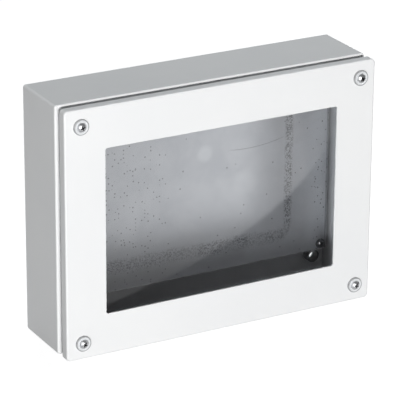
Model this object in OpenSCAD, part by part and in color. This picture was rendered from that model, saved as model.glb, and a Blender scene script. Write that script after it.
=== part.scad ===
// Wall-mounted junction box of folded sheet steel with a screwed, glazed pan lid.
// X runs to the right, Z up, and the lid faces -Y. The case stands on Z = 0.
// Depths are measured from the lid's front face towards the back wall.

/* [Case] */
// Width of the case and of the lid
case_w = 300; // [240:5:600]
// Height of the case and of the lid
case_h = 225; // [180:5:500]
// Depth from the lid's front face to the back of the case
case_d = 80; // [65:1:200]
// Thickness of the folded steel sheet
sheet = 1.5; // [1.2:0.1:2]
// Outer radius of the case's welded corners
corner_r = 2.5; // [2.5:0.5:8]
// Outer radius of the folds along the front and back edges
fold_r = 1.6; // [1.6:0.1:2.4]

/* [Rim] */
// Depth of the case's front flange behind the lid's front face
flange_depth = 18; // [14:0.5:24]
// Distance from the case's side to the outer face of the sealing upstand
upstand_inset = 6.25; // [5.5:0.25:7]
// Outer radius of the upstand's corners
upstand_r = 6; // [4:0.5:10]

/* [Lid] */
// Depth of the lid's folded edge
lid_d = 9; // [8:0.5:12]
// Outer radius of the lid's corners
lid_corner_r = 3.5; // [3:0.5:8]
// Thickness of the foam gasket in the lid
gasket_t = 4; // [3:0.5:6]
// Width of the foam gasket
gasket_w = 7; // [5:0.5:8]

/* [Window] */
// Width of the lid's border round the window opening
window_border = 37.5; // [36:0.5:80]
// Radius of the opening's corners
window_r = 2; // [1:0.5:6]
// Thickness of the pane
pane_t = 3; // [2:0.5:5]
// How far the pane reaches behind the lid on each side
pane_overlap = 11.5; // [9:0.5:13]
// Radius of the pane's corners
pane_r = 3; // [1:0.5:6]
// Thickness of the foam tape between lid and pane
seal_t = 1.5; // [1:0.25:2.5]
// Distance from the opening's edge to the foam tape
seal_inset = 3.5; // [2:0.5:6]
// Thickness of the frame that clamps the pane
frame_t = 1.5; // [1:0.25:3]
// Distance from the opening's edge to the clamping frame
frame_inset = 5.5; // [3:0.5:8]
// Outer radius of the clamping frame's corners
frame_r = 14; // [10:0.5:20]
// Diameter of the weld studs that hold the frame
stud_d = 4; // [3:0.5:5]
// Length of the weld studs
stud_len = 10.5; // [9:0.5:12]
// Distance from a stud's axis to the pane's edge and to the frame's edge
stud_edge = 4.5; // [4:0.25:6]
// Distance between neighbouring studs along the frame
stud_pitch = 95; // [60:5:120]
// Width across the flats of the frame's nuts
stud_nut_af = 7; // [5.5:0.5:8]
// Height of the frame's nuts
stud_nut_h = 3.2; // [2:0.2:4]

/* [Lid screws] */
// Distance from the lid's edges to a screw's axis
screw_inset = 15; // [14:0.5:20]
// Diameter of the screw's thread
screw_d = 5; // [4.5:0.5:6]
// Diameter of the screw's neck, where the keeper ring sits
screw_neck_d = 3.9; // [3.4:0.1:4.2]
// Diameter of the screw's head
head_d = 8.3; // [7.5:0.1:9]
// Height of the screw's head
head_h = 3.1; // [2.7:0.1:4]
// Height of the upright edge below the head's dome
head_edge = 0.9; // [0.5:0.1:1.2]
// Width across the head's cross recess
recess_w = 4.8; // [4:0.1:5.5]
// Width of each slot of the cross recess
recess_slot = 1.2; // [0.8:0.1:1.6]
// Depth of the cross recess
recess_h = 2; // [1.2:0.1:2.4]
// Share of the recess's width that its tapered middle takes up
recess_core = 0.65; // [0.5:0.05:0.8]
// Length of thread held in the case when the lid is shut
screw_grip = 9.6; // [6.4:0.8:9.6]
// Diameter of the dished washer under the head
washer_d = 14; // [12:0.5:18]
// Height of the dished washer's rim
washer_t = 2; // [1.6:0.1:2.6]
// Width of the dished washer's rim
washer_rim = 0.8; // [0.5:0.1:1.2]
// How far the dish drops from the rim to the screw's head
dish_drop = 0.5; // [0.2:0.1:0.8]
// Diameter of the keeper ring on the screw's neck
keeper_d = 7.2; // [6.8:0.1:8.5]
// Thickness of the keeper ring
keeper_t = 1.5; // [1:0.1:2]
// Distance from the keeper ring to the threaded bush behind it
keeper_gap = 2.5; // [2:0.5:4]
// Length of the neck behind the keeper ring
neck_spare = 1; // [0.5:0.5:2]

/* [Corner brackets] */
// Length of a bracket along each wall
bracket_leg = 34; // [28:1:40]
// Width of a bracket at the end of each leg
bracket_end = 10; // [6:1:16]
// Thickness of a bracket
bracket_t = 3; // [2:0.5:4]
// Diameter of the threaded bush's body
bush_d = 8; // [7.5:0.5:11]
// Length of the threaded bush's body behind its flange
bush_len = 10; // [8:0.5:14]
// Diameter of the threaded bush's flange
bush_flange_d = 12; // [11:0.5:14]
// Thickness of the threaded bush's flange
bush_flange_t = 1.5; // [1:0.25:2.5]

/* [Mounting plate] */
// Thickness of the mounting plate
plate_t = 2; // [1.5:0.25:3]
// Gap between the plate's folded sides and the case's walls
plate_side_gap = 1; // [1:0.5:10]
// Gap between the plate's top or bottom edge and the wall sleeves
plate_end_gap = 1.5; // [1:0.5:10]
// Height of the plate above the back wall
plate_standoff = 8; // [5:0.5:20]
// Outer radius of the plate's side folds
plate_fold_r = 3; // [2.5:0.25:5]
// Distance from the plate's folded side to a screw's axis
plate_screw_side = 8; // [7.5:0.5:20]
// Distance from the plate's top or bottom edge to a screw's axis
plate_screw_end = 5; // [5:0.5:20]
// Diameter of the plate screws
plate_screw_d = 5; // [4:0.5:6]
// Diameter of the plate screws' heads
plate_head_d = 9.2; // [8:0.2:11]
// Height of the plate screws' heads
plate_head_h = 3.4; // [2.8:0.2:4]
// Height of the upright edge below the plate screws' domes
plate_head_edge = 1; // [0.6:0.1:1.4]
// Width across the plate screws' cross recess
plate_recess_w = 5; // [4:0.1:6]
// Width of each slot of the plate screws' cross recess
plate_recess_slot = 1.4; // [1:0.1:1.8]
// Depth of the plate screws' cross recess
plate_recess_h = 2; // [1.2:0.1:2.4]
// Diameter of the plate's spacers
spacer_d = 10; // [8:0.5:11]

/* [Wall fixing] */
// Diameter of the wall-fixing holes
wall_hole_d = 8.6; // [6:0.2:9]
// Distance from the case's side to a wall-fixing hole
wall_hole_side = 16; // [15:1:60]
// Distance from the case's top or bottom to a wall-fixing hole
wall_hole_end = 17; // [12:1:40]
// Outer diameter of the sleeve round a wall-fixing hole
sleeve_d = 12; // [11:0.5:16]
// Length of the sleeve in front of the back wall
sleeve_len = 7.5; // [4:0.5:20]

/* [Earth point] */
// Diameter of the earth stud
earth_d = 6; // [5:1:8]
// Length of the earth stud
earth_len = 20; // [16:1:30]
// Depth of the earth stud behind the lid's front face
earth_depth = 45; // [40:1:55]
// Height of the earth stud above the bottom of the case
earth_height = 22; // [18:1:60]
// Diameter of the plain earth washer
earth_washer_d = 12; // [10:0.5:16]
// Thickness of the plain earth washer
earth_washer_t = 1.6; // [1:0.1:2]
// Diameter of the split lock washer
lock_washer_d = 10.6; // [10:0.2:14]
// Thickness of the split lock washer
lock_washer_t = 1.6; // [1:0.1:2]
// Width of the lock washer's split
lock_washer_split = 1.2; // [0.6:0.2:2]
// Width across the flats of the earth nut
earth_nut_af = 10; // [8:1:13]
// Height of the earth nut
earth_nut_h = 5; // [4:0.5:7]

/* [Fits] */
// Radial clearance of a screw in its thread and of a ring on its shank
thread_clear = 0.05; // [0.02:0.01:0.1]
// Radial clearance of a screw or stud in a plain hole
hole_clear = 0.3; // [0.2:0.05:0.5]

/* [Hidden] */
$fn = 64;
cut = 1;

// Depths of the faces that seat on each other, from the lid's front inwards
upstand_depth = sheet + gasket_t;
pane_depth = sheet + seal_t;
frame_depth = pane_depth + pane_t;
frame_back = frame_depth + frame_t;
bracket_depth = flange_depth + sheet;
bush_depth = bracket_depth - bush_flange_t;
keeper_depth = bush_depth - keeper_gap - keeper_t;
screw_tip_depth = bush_depth + screw_grip;
wall_depth = case_d - sheet;
plate_back = wall_depth - plate_standoff;
plate_depth = plate_back - plate_t;
head_seat = washer_t - dish_drop;
head_front = head_seat + head_h;

// The origin lies below the middle of the whole object, screw heads included
mid_depth = (case_d - head_front) / 2;
mid_z = case_h / 2;

// Sizes of the window's layers
window_w = case_w - 2 * window_border;
window_h = case_h - 2 * window_border;
stud_reach = pane_overlap + stud_edge;
frame_reach = stud_reach + stud_edge;

// Gasket, upstand and opening share one centre line
gasket_inset = upstand_inset + sheet / 2 - gasket_w / 2;
opening_inset = upstand_inset + sheet;

// Places of what repeats in the four corners
screw_x = case_w / 2 - screw_inset;
screw_z = case_h / 2 - screw_inset;
wall_hole_x = case_w / 2 - wall_hole_side;
wall_hole_z = case_h / 2 - wall_hole_end;
plate_half_w = case_w / 2 - sheet - plate_side_gap;
plate_half_h = wall_hole_z - sleeve_d / 2 - plate_end_gap;
plate_screw_x = plate_half_w - plate_screw_side;
plate_screw_z = plate_half_h - plate_screw_end;

// Angles at which the screws' recesses stand when they are tight
turn_tl = 20;
turn_tr = 35;
turn_bl = 60;
turn_br = 75;
turn_plate = 45;

// Colours of the finishes
light_paint = [0.90, 0.90, 0.89];
zinc = [0.70, 0.71, 0.72];
bright_zinc = [0.82, 0.83, 0.84];
black_zinc = [0.09, 0.09, 0.10];
foam = [0.12, 0.12, 0.12];
nylon = [0.72, 0.73, 0.73];
clear = [0.80, 0.84, 0.86, 0.35];

// Rounded rectangle about the middle of the front view
module outline(w, h, r) {
    square([w - 2 * r, h], center = true);
    square([w, h - 2 * r], center = true);
    for (x = [-1, 1], y = [-1, 1])
        translate([x * (w / 2 - r), y * (h / 2 - r)]) circle(r);
}

// Stands a front view up at a depth, so that its own Z points out of the front
module at_depth(depth) {
    translate([0, depth - mid_depth, mid_z]) rotate([90, 0, 0]) children();
}

// Sheet of a front view from one depth to a greater one
module layer(depth, thick) {
    at_depth(depth + thick) linear_extrude(thick) children();
}

// Round bar or hole along the depth at a place in the front view
module bar(x, z, depth, length, d) {
    at_depth(depth + length) translate([x, z, 0]) cylinder(h = length, d = d);
}

// Copies of a thing in the four corners of a rectangle
module four_corners(x, z) {
    for (side = [-1, 1], end = [-1, 1]) translate([side * x, end * z]) children();
}

// What a rounded fold takes off a square corner at the upper left
module fold_waste(fold) {
    difference() {
        translate([-cut, 0]) square(fold + cut);
        translate([fold, 0]) circle(fold);
    }
}

// Cross-section of a folded edge: the outer side is at 0 and the front at thick
module edge_section(reach, thick, fold, back_fold) {
    difference() {
        square([reach, thick]);
        translate([0, thick - fold]) fold_waste(fold);
        if (back_fold) translate([0, fold]) mirror([0, 1]) fold_waste(fold);
    }
}

// Block with round corners whose front edges, and back edges if wanted, are folded round
module folded_block(w, h, corner, fold, thick, back_fold) {
    long = w - 2 * corner;
    high = h - 2 * corner;
    translate([-long / 2, -high / 2, 0]) cube([long, high, thick]);
    for (side = [0, 180]) rotate(side) {
        translate([-w / 2, high / 2, 0]) rotate([90, 0, 0])
            linear_extrude(high) edge_section(corner, thick, fold, back_fold);
        translate([-long / 2, -h / 2, 0]) rotate([90, 0, 90])
            linear_extrude(long) edge_section(corner, thick, fold, back_fold);
        translate([long / 2, high / 2, 0]) rotate_extrude(angle = 90)
            translate([corner, 0]) mirror([1, 0]) edge_section(corner, thick, fold, back_fold);
        translate([-long / 2, high / 2, 0]) rotate(90) rotate_extrude(angle = 90)
            translate([corner, 0]) mirror([1, 0]) edge_section(corner, thick, fold, back_fold);
    }
}

// Hexagonal nut with chamfered corners, standing on Z = 0
module hex_nut(af, height, bore) {
    corner_d = af / cos(30);
    chamfer = (corner_d - af) / 2;
    difference() {
        intersection() {
            cylinder(h = height, d = corner_d, $fn = 6);
            union() {
                cylinder(h = height - chamfer, d = corner_d);
                translate([0, 0, height - chamfer]) cylinder(h = chamfer, d1 = corner_d, d2 = af);
            }
        }
        translate([0, 0, -cut]) cylinder(h = height + 2 * cut, d = bore);
    }
}

// Flat ring standing on Z = 0
module ring(outer_d, inner_d, height) {
    difference() {
        cylinder(h = height, d = outer_d);
        translate([0, 0, -cut]) cylinder(h = height + 2 * cut, d = inner_d);
    }
}

// Slots of a cross recess, cut down from Z = 0
module cross_recess(span, slot, depth) {
    for (turn = [0, 90])
        rotate(turn) translate([-span / 2, -slot / 2, -depth]) cube([span, slot, depth + cut]);
    translate([0, 0, -depth]) cylinder(h = depth, d1 = slot, d2 = span * recess_core);
}

// Domed head with a flat crown and a cross recess, standing on Z = 0
module domed_head(d, height, edge, span, slot, depth, turn) {
    crown_d = span * recess_core + slot / 2;
    drop = ((d * d - crown_d * crown_d) / 4 + edge * edge - height * height) / (2 * (height - edge));
    dome_r = sqrt(crown_d * crown_d / 4 + (height + drop) * (height + drop));
    difference() {
        intersection() {
            cylinder(h = height, d = d);
            translate([0, 0, -drop]) sphere(dome_r);
        }
        translate([0, 0, height]) rotate(turn) cross_recess(span, slot, depth);
    }
}

// Places of the weld studs, evenly spaced along each side of the clamping frame
function along(length) = let (n = max(2, round(length / stud_pitch)))
    [for (i = [0:n - 1]) length * ((i + 0.5) / n - 0.5)];
stud_places = concat(
    [for (x = along(window_w), side = [-1, 1]) [x, side * (window_h / 2 + stud_reach)]],
    [for (z = along(window_h), side = [-1, 1]) [side * (window_w / 2 + stud_reach), z]]
);

// Case folded from one sheet, with a front flange and a forward upstand for the gasket
module enclosure_body() {
    color(light_paint) difference() {
        union() {
            at_depth(case_d)
                folded_block(case_w, case_h, corner_r, fold_r, case_d - flange_depth, true);
            layer(upstand_depth, flange_depth + sheet - upstand_depth)
                outline(case_w - 2 * upstand_inset, case_h - 2 * upstand_inset, upstand_r);
        }
        layer(bracket_depth, wall_depth - bracket_depth)
            outline(case_w - 2 * sheet, case_h - 2 * sheet, corner_r - sheet);
        layer(upstand_depth - cut, bracket_depth - upstand_depth + 2 * cut)
            outline(case_w - 2 * opening_inset, case_h - 2 * opening_inset, upstand_r - sheet);
        layer(wall_depth - cut, sheet + 2 * cut)
            four_corners(wall_hole_x, wall_hole_z) circle(d = wall_hole_d);
    }
}

// Gussets welded behind the flange in the four front corners
module corner_brackets() {
    clip = corner_r - sheet + hole_clear;
    gusset = [
        [clip, 0], [bracket_leg, 0], [bracket_leg, bracket_end],
        [bracket_end, bracket_leg], [0, bracket_leg], [0, clip]
    ];
    color(light_paint) for (side = [-1, 1], end = [-1, 1]) layer(bracket_depth, bracket_t) difference() {
        polygon([for (p = gusset)
            [side * (case_w / 2 - sheet - p[0]), end * (case_h / 2 - sheet - p[1])]]);
        translate([side * screw_x, end * screw_z]) circle(d = bush_d + 2 * thread_clear);
    }
}

// Flanged threaded bushes in the brackets, which take the lid screws
module lid_bushes() {
    bore = screw_d + 2 * thread_clear;
    color(zinc) at_depth(bracket_depth) four_corners(screw_x, screw_z) {
        ring(bush_flange_d, bore, bush_flange_t);
        translate([0, 0, -bush_len]) ring(bush_d, bore, bush_len);
    }
}

// Sleeves welded to the back wall round the wall-fixing holes
module wall_sleeves() {
    color(light_paint) at_depth(wall_depth)
        four_corners(wall_hole_x, wall_hole_z) ring(sleeve_d, wall_hole_d, sleeve_len);
}

// Threaded spacers welded to the back wall under the plate's corners
module plate_spacers() {
    color(zinc) at_depth(wall_depth) four_corners(plate_screw_x, plate_screw_z)
        ring(spacer_d, plate_screw_d + 2 * thread_clear, plate_standoff);
}

// Zinc-plated plate whose side edges are folded back to the wall
module mounting_plate() {
    depth = plate_standoff + plate_t;
    color(zinc) at_depth(wall_depth) difference() {
        translate([0, plate_half_h, 0]) rotate([90, 0, 0]) linear_extrude(2 * plate_half_h) difference() {
            union() {
                translate([-plate_half_w, 0]) square([2 * plate_half_w, depth - plate_fold_r]);
                translate([-plate_half_w + plate_fold_r, 0])
                    square([2 * (plate_half_w - plate_fold_r), depth]);
                for (side = [-1, 1])
                    translate([side * (plate_half_w - plate_fold_r), depth - plate_fold_r]) circle(plate_fold_r);
            }
            translate([-plate_half_w + plate_t, -cut])
                square([2 * (plate_half_w - plate_t), plate_standoff + cut]);
        }
        four_corners(plate_screw_x, plate_screw_z)
            cylinder(h = depth + cut, d = plate_screw_d + 2 * hole_clear);
    }
}

// Black screws that hold the plate on its spacers
module plate_screws() {
    shank = plate_t + plate_standoff - sheet;
    color(black_zinc) at_depth(plate_depth) four_corners(plate_screw_x, plate_screw_z) {
        domed_head(plate_head_d, plate_head_h, plate_head_edge,
            plate_recess_w, plate_recess_slot, plate_recess_h, turn_plate);
        translate([0, 0, -shank]) cylinder(h = shank, d = plate_screw_d);
    }
}

// Turns a fitting so that it stands on the inside of the left wall
module on_left_wall(lift) {
    translate([-case_w / 2 + sheet + lift, earth_depth - mid_depth, earth_height])
        rotate([0, 90, 0]) children();
}

// Weld stud of the protective-earth point
module earth_stud() {
    color(zinc) on_left_wall(0) cylinder(h = earth_len, d = earth_d);
}

// Plain washer against the wall on the earth stud
module earth_washer() {
    color(bright_zinc) on_left_wall(0) ring(earth_washer_d, earth_d + 2 * hole_clear, earth_washer_t);
}

// Split lock washer under the earth nut
module earth_lock_washer() {
    color(bright_zinc) on_left_wall(earth_washer_t) difference() {
        ring(lock_washer_d, earth_d + 2 * hole_clear, lock_washer_t);
        translate([0, -lock_washer_split / 2, -cut])
            cube([lock_washer_d, lock_washer_split, lock_washer_t + 2 * cut]);
    }
}

// Nut on the earth stud
module earth_nut() {
    color(bright_zinc) on_left_wall(earth_washer_t + lock_washer_t)
        hex_nut(earth_nut_af, earth_nut_h, earth_d + 2 * thread_clear);
}

// Pan lid with folded edges, window opening and screw holes
module lid_panel() {
    color(light_paint) difference() {
        at_depth(lid_d) folded_block(case_w, case_h, lid_corner_r, fold_r, lid_d, false);
        layer(sheet, lid_d - sheet + cut)
            outline(case_w - 2 * sheet, case_h - 2 * sheet, lid_corner_r - sheet);
        layer(-cut, sheet + 2 * cut) {
            outline(window_w, window_h, window_r);
            four_corners(screw_x, screw_z) circle(d = screw_d + 2 * hole_clear);
        }
    }
}

// Clear pane behind the window opening
module window_pane() {
    color(clear) layer(pane_depth, pane_t)
        outline(window_w + 2 * pane_overlap, window_h + 2 * pane_overlap, pane_r);
}

// Foam tape between the lid and the pane
module pane_seal() {
    color(foam) layer(sheet, seal_t) difference() {
        outline(window_w + 2 * pane_overlap, window_h + 2 * pane_overlap, pane_r);
        outline(window_w + 2 * seal_inset, window_h + 2 * seal_inset, window_r);
    }
}

// Flat frame that clamps the pane from behind
module pane_frame() {
    color(zinc) layer(frame_depth, frame_t) difference() {
        outline(window_w + 2 * frame_reach, window_h + 2 * frame_reach, frame_r);
        outline(window_w + 2 * frame_inset, window_h + 2 * frame_inset, window_r);
        for (place = stud_places) translate(place) circle(d = stud_d + 2 * hole_clear);
    }
}

// Studs welded to the inside of the lid
module pane_studs() {
    color(zinc) for (place = stud_places) bar(place[0], place[1], sheet, stud_len, stud_d);
}

// Nuts that press the frame onto the pane
module pane_nuts() {
    color(bright_zinc) for (place = stud_places) at_depth(frame_back) translate(place)
        mirror([0, 0, 1]) hex_nut(stud_nut_af, stud_nut_h, stud_d + 2 * thread_clear);
}

// Foam gasket in the lid, which seals on the case's upstand
module lid_gasket() {
    inner_inset = gasket_inset + gasket_w;
    color(foam) layer(sheet, gasket_t) difference() {
        outline(case_w - 2 * gasket_inset, case_h - 2 * gasket_inset, upstand_r + gasket_w / 2);
        outline(case_w - 2 * inner_inset, case_h - 2 * inner_inset, upstand_r - gasket_w / 2);
    }
}

// Captive lid screw in one corner, with its recess turned by an angle
module lid_screw(side, end, turn) {
    neck_len = head_seat + keeper_depth + keeper_t + neck_spare;
    color(bright_zinc) at_depth(-head_seat) translate([side * screw_x, end * screw_z, 0]) {
        domed_head(head_d, head_h, head_edge, recess_w, recess_slot, recess_h, turn);
        translate([0, 0, -neck_len]) cylinder(h = neck_len, d = screw_neck_d);
        translate([0, 0, -screw_tip_depth - head_seat])
            cylinder(h = screw_tip_depth + head_seat - neck_len, d = screw_d);
    }
}

// Dished washer under a lid screw's head
module lid_washer(side, end) {
    dish_d = washer_d - 2 * washer_rim;
    color(nylon) at_depth(0) translate([side * screw_x, end * screw_z, 0]) difference() {
        ring(washer_d, screw_neck_d + 2 * thread_clear, washer_t);
        translate([0, 0, head_seat]) cylinder(h = dish_drop, d1 = head_d, d2 = dish_d);
    }
}

// Ring on a lid screw's neck that keeps it captive in the lid
module screw_keeper(side, end) {
    color(nylon) at_depth(keeper_depth + keeper_t) translate([side * screw_x, end * screw_z, 0])
        ring(keeper_d, screw_neck_d + 2 * thread_clear, keeper_t);
}

module lid_screw_tl() { lid_screw(-1, 1, turn_tl); }
module lid_screw_tr() { lid_screw(1, 1, turn_tr); }
module lid_screw_bl() { lid_screw(-1, -1, turn_bl); }
module lid_screw_br() { lid_screw(1, -1, turn_br); }
module lid_washer_tl() { lid_washer(-1, 1); }
module lid_washer_tr() { lid_washer(1, 1); }
module lid_washer_bl() { lid_washer(-1, -1); }
module lid_washer_br() { lid_washer(1, -1); }
module screw_keeper_tl() { screw_keeper(-1, 1); }
module screw_keeper_tr() { screw_keeper(1, 1); }
module screw_keeper_bl() { screw_keeper(-1, -1); }
module screw_keeper_br() { screw_keeper(1, -1); }

enclosure_body();
corner_brackets();
lid_bushes();
wall_sleeves();
plate_spacers();
mounting_plate();
plate_screws();
earth_stud();
earth_washer();
earth_lock_washer();
earth_nut();
lid_panel();
window_pane();
pane_seal();
pane_frame();
pane_studs();
pane_nuts();
lid_gasket();
lid_screw_tl();
lid_screw_tr();
lid_screw_bl();
lid_screw_br();
lid_washer_tl();
lid_washer_tr();
lid_washer_bl();
lid_washer_br();
screw_keeper_tl();
screw_keeper_tr();
screw_keeper_bl();
screw_keeper_br();
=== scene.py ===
"""Portrait of the glazed junction box: finishes, threaded fasteners, studio, light and camera."""
import logging
import math
from dataclasses import dataclass
from enum import Enum
from typing import Callable, Sequence

import bpy
from mathutils import Matrix, Vector


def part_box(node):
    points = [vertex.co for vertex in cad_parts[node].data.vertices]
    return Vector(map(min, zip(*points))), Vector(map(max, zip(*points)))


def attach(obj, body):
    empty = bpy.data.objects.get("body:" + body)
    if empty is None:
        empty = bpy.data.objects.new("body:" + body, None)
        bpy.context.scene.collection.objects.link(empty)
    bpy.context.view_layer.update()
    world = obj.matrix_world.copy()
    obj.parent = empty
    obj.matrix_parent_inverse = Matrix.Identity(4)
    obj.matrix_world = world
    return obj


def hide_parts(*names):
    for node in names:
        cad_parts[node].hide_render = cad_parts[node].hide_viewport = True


LOG = logging.getLogger("junction_box")
PICTURE_PX = 400

Colour = tuple[float, float, float]
Place = tuple[float, float, float]
Span = tuple[float, float]
Socket = bpy.types.NodeSocket
Node = bpy.types.Node
Material = bpy.types.Material
Piece = bpy.types.Object
Profile = Sequence[tuple[float, float]]

# Points closer than this are one, and cuts are ten times finer
WELD = 0.000001
CUT = WELD / 10
# Faces that meet at less than this angle are shaded as one surface
SMOOTH_ANGLE = math.radians(38.0)
# Surfaces behind this Y pass on less light, so that the box is dark inside
INSIDE_Y = -0.018
INSIDE_LOSS = 0.42
# A ray that only crosses the two faces of the pane has taken fewer steps than this
STRAIGHT_DEPTH = 2.5
# Below the first number a ray has crossed no face of the pane, above the second both
OUTSIDE_DEPTH = 0.5
INSIDE_DEPTH = 1.5
# Noise seldom leaves this span
NOISE_SPAN: Span = (0.3, 0.7)
BLACK: Colour = (0.0, 0.0, 0.0)
WHITE: Colour = (1.0, 1.0, 1.0)
COOL: Colour = (0.93, 0.975, 1.0)

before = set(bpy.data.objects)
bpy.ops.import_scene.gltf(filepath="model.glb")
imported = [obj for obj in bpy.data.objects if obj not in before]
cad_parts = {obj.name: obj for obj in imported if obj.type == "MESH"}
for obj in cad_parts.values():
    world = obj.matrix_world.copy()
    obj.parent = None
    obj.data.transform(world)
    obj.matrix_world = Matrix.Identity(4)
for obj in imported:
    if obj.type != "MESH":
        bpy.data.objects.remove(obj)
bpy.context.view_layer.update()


class Corner(Enum):
    """Corners of the front view as the signs of X and Z."""

    TL = (-1, 1)
    TR = (1, 1)
    BL = (-1, -1)
    BR = (1, -1)

    @property
    def tag(self) -> str:
        """Ending of the names of the pieces in this corner."""
        return self.name.lower()


class Combining(Enum):
    """What a tool does to a piece, by the name of the operation."""

    UNITE = "UNION"
    CUT_OUT = "DIFFERENCE"


class Facing(Enum):
    """Where a piece that is modelled upright points in its place, as an angle and an axis."""

    FRONT = (90.0, "X")
    BACK = (-90.0, "X")
    RIGHT = (90.0, "Y")

    @property
    def turn(self) -> Matrix:
        """Rotation that points the piece."""
        angle, axis = self.value
        return Matrix.Rotation(math.radians(angle), 4, axis)


class Owner(Enum):
    """What a node graph belongs to, by the name of its output node."""

    MATERIAL = "ShaderNodeOutputMaterial"
    WORLD = "ShaderNodeOutputWorld"


class Graph:
    """Node graph of a material or of the world, built from short calls."""

    def __init__(self, name: str, owner: Owner = Owner.MATERIAL) -> None:
        """Starts an empty graph.

        Args:
            name: name of the material or world.
            owner: which of them the graph belongs to.
        """
        kin = bpy.data.worlds if owner is Owner.WORLD else bpy.data.materials
        self.owner = kin.new(name)
        self.owner.use_nodes = True
        self.tree = self.owner.node_tree
        self.tree.nodes.clear()
        self.output = self.add(owner.value)

    def add(self, kind: str, **settings: object) -> Node:
        """Adds a node.

        Args:
            kind: Blender's name of the node type.
            **settings: properties to set on the node.

        Returns:
            The new node.
        """
        node = self.tree.nodes.new(kind)
        for key, value in settings.items():
            setattr(node, key, value)
        return node

    def feed(self, socket: Socket, value: object) -> None:
        """Links a socket to another one, or sets it to a plain value.

        Args:
            socket: input to fill.
            value: output socket, number or colour.
        """
        if isinstance(value, Socket):
            self.tree.links.new(value, socket)
        elif isinstance(value, tuple) and len(value) == 3 and socket.type == "RGBA":
            socket.default_value = (*value, 1.0)
        else:
            socket.default_value = value

    def place(self) -> Socket:
        """Coordinates of the piece in metres."""
        return self.add("ShaderNodeTexCoord").outputs["Object"]

    def axes(self) -> tuple[Socket, Socket, Socket]:
        """Splits the coordinates of the piece.

        Returns:
            X, Y and Z in metres as separate outputs.
        """
        split = self.add("ShaderNodeSeparateXYZ")
        self.feed(split.inputs[0], self.place())
        return split.outputs[0], split.outputs[1], split.outputs[2]

    def noise(self, vector: Socket, scale: float, detail: float = 3.0, roughness: float = 0.55,
              distortion: float = 0.0) -> Socket:
        """Noise from 0 to 1.

        Args:
            vector: coordinates.
            scale: number of blotches in a metre.
            detail: number of finer layers.
            roughness: weight of the finer layers.
            distortion: swirl of the pattern.

        Returns:
            A value output.
        """
        node = self.add("ShaderNodeTexNoise")
        self.feed(node.inputs["Vector"], vector)
        node.inputs["Scale"].default_value = scale
        node.inputs["Detail"].default_value = detail
        node.inputs["Roughness"].default_value = roughness
        node.inputs["Distortion"].default_value = distortion
        return node.outputs["Fac"]

    def cells(self, vector: Socket, scale: float) -> Node:
        """Cell pattern.

        Args:
            vector: coordinates.
            scale: number of cells in a metre.

        Returns:
            The node, with its Distance and Color outputs.
        """
        node = self.add("ShaderNodeTexVoronoi")
        self.feed(node.inputs["Vector"], vector)
        node.inputs["Scale"].default_value = scale
        return node

    def sum(self, kind: str, first: object, second: object = 0.0, clamp: bool = False) -> Socket:
        """One step of arithmetic.

        Args:
            kind: Blender's name of the operation.
            first: first number or value output.
            second: second number or value output.
            clamp: keep the result between 0 and 1.

        Returns:
            A value output.
        """
        node = self.add("ShaderNodeMath", operation=kind, use_clamp=clamp)
        self.feed(node.inputs[0], first)
        self.feed(node.inputs[1], second)
        return node.outputs[0]

    def span(self, value: Socket, low: float, high: float, to_low: float = 0.0,
             to_high: float = 1.0) -> Socket:
        """Moves a value from one span to another, with soft ends that it holds.

        Args:
            value: value output.
            low: value that becomes to_low.
            high: value that becomes to_high.
            to_low: lower end of the result.
            to_high: upper end of the result.

        Returns:
            A value output.
        """
        node = self.add("ShaderNodeMapRange", interpolation_type="SMOOTHSTEP")
        self.feed(node.inputs["Value"], value)
        node.inputs["From Min"].default_value = low
        node.inputs["From Max"].default_value = high
        node.inputs["To Min"].default_value = to_low
        node.inputs["To Max"].default_value = to_high
        return node.outputs["Result"]

    def uneven(self, noise: Socket, roughness: float, change: Span) -> Socket:
        """Roughness to which the least and the most noise add the two ends of a change."""
        least, most = change
        return self.span(noise, *NOISE_SPAN, roughness + least, roughness + most)

    def far(self, first: Socket, second: Socket) -> Socket:
        """Length of the vector with two given components."""
        squares = self.sum("ADD", self.sum("MULTIPLY", first, first), self.sum("MULTIPLY", second, second))
        return self.sum("SQRT", squares)

    def blend(self, share: object, first: object, second: object) -> Socket:
        """Colour between two colours.

        Args:
            share: 0 gives the first colour, 1 the second.
            first: colour or colour output.
            second: colour or colour output.

        Returns:
            A colour output.
        """
        node = self.add("ShaderNodeMix", data_type="RGBA")
        self.feed(node.inputs[0], share)
        self.feed(node.inputs[6], first)
        self.feed(node.inputs[7], second)
        return node.outputs[2]

    def mix(self, share: Socket, first: Socket, second: Socket) -> Socket:
        """Mixes two shaders.

        Args:
            share: 0 gives the first shader, 1 the second.
            first: shader output.
            second: shader output.

        Returns:
            A shader output.
        """
        node = self.add("ShaderNodeMixShader")
        for socket, value in zip(node.inputs, (share, first, second)):
            self.feed(socket, value)
        return node.outputs[0]

    def bump(self, height: Socket, depth: float, strength: float) -> Socket:
        """Fine relief.

        Args:
            height: value output, 0 to 1.
            depth: height of the relief in metres.
            strength: share of the relief that shows.

        Returns:
            A normal output.
        """
        node = self.add("ShaderNodeBump")
        node.inputs["Strength"].default_value = strength
        node.inputs["Distance"].default_value = depth
        self.feed(node.inputs["Height"], height)
        return node.outputs["Normal"]

    def principled(self, **inputs: object) -> Node:
        """Principled shader with some of its inputs filled.

        Args:
            **inputs: socket names with _ for a space.

        Returns:
            The shader node.
        """
        node = self.add("ShaderNodeBsdfPrincipled")
        for key, value in inputs.items():
            self.feed(node.inputs[key.replace("_", " ")], value)
        return node

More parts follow.
